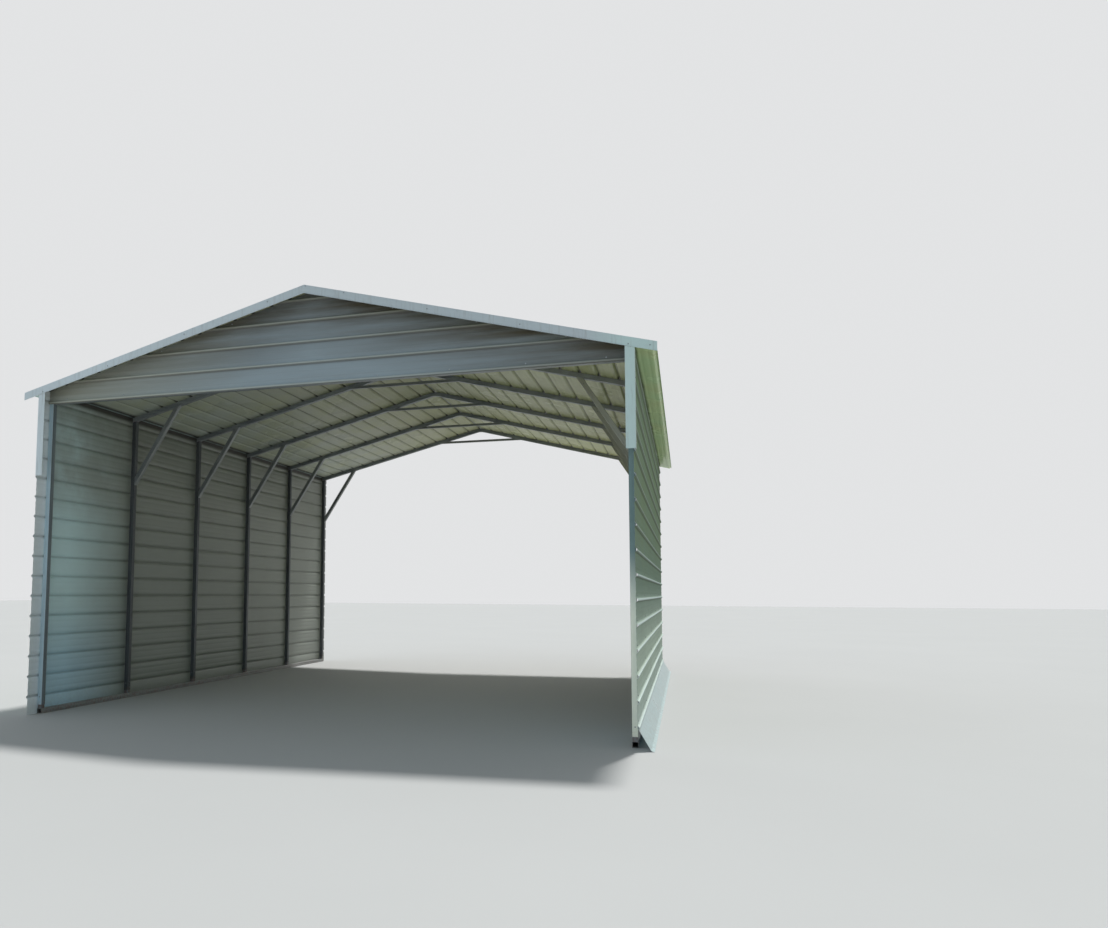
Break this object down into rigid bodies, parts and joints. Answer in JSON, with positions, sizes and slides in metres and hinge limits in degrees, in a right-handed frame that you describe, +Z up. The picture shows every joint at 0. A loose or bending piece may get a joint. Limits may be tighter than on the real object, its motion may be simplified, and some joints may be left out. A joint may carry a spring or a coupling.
{
  "type": "steel carport",
  "caption": "Gabled steel carport on square tube bows, with ribbed sheet walls and roof, a closed front gable and open ends.",
  "frame": {"origin": "on the floor, under the centre of the whole carport, roof overhangs included", "axes": "+Y runs along the ridge from the gabled front to the rear, +X to the right side as seen from the front, +Z up"},
  "size_m": [7.152, 7.9319, 4.6256],
  "materials": {
    "galvanised_tube": "galvanised tube, mid grey, matt",
    "wall_sheet": "white coil-coated sheet, satin, faintly green in shade",
    "roof_sheet": "coil-coated sheet, off-white, satin",
    "gable_sheet": "pale grey coil-coated sheet, satin",
    "white_trim": "white folded trim, satin",
    "base_flashing": "white folded flashing, satin"
  },
  "bodies": {
    "root": {"bow_1": "galvanised_tube", "bow_2": "galvanised_tube", "bow_3": "galvanised_tube", "bow_4": "galvanised_tube", "bow_5": "galvanised_tube", "bow_6": "galvanised_tube", "collar_tie_2": "galvanised_tube", "collar_tie_3": "galvanised_tube", "collar_tie_4": "galvanised_tube", "collar_tie_5": "galvanised_tube", "collar_tie_6": "galvanised_tube", "gable_header": "galvanised_tube", "gable_sheet": "gable_sheet", "left_base_pins": "galvanised_tube", "left_base_rail": "galvanised_tube", "left_corner_trim": "white_trim", "left_knee_braces": "galvanised_tube", "left_post_1": "galvanised_tube", "left_post_2": "galvanised_tube", "left_post_3": "galvanised_tube", "left_post_4": "galvanised_tube", "left_post_5": "galvanised_tube", "left_post_6": "galvanised_tube", "left_rake_trim": "white_trim", "left_roof_sheets": "roof_sheet", "left_wall_sheets": "wall_sheet", "ridge_cap": "white_trim", "right_base_flashing": "base_flashing", "right_base_pins": "galvanised_tube", "right_base_rail": "galvanised_tube", "right_corner_trim": "white_trim", "right_knee_braces": "galvanised_tube", "right_post_1": "galvanised_tube", "right_post_2": "galvanised_tube", "right_post_3": "galvanised_tube", "right_post_4": "galvanised_tube", "right_post_5": "galvanised_tube", "right_post_6": "galvanised_tube", "right_rake_trim": "white_trim", "right_roof_sheets": "roof_sheet", "right_wall_sheets": "wall_sheet"}
  },
  "joints": []
}
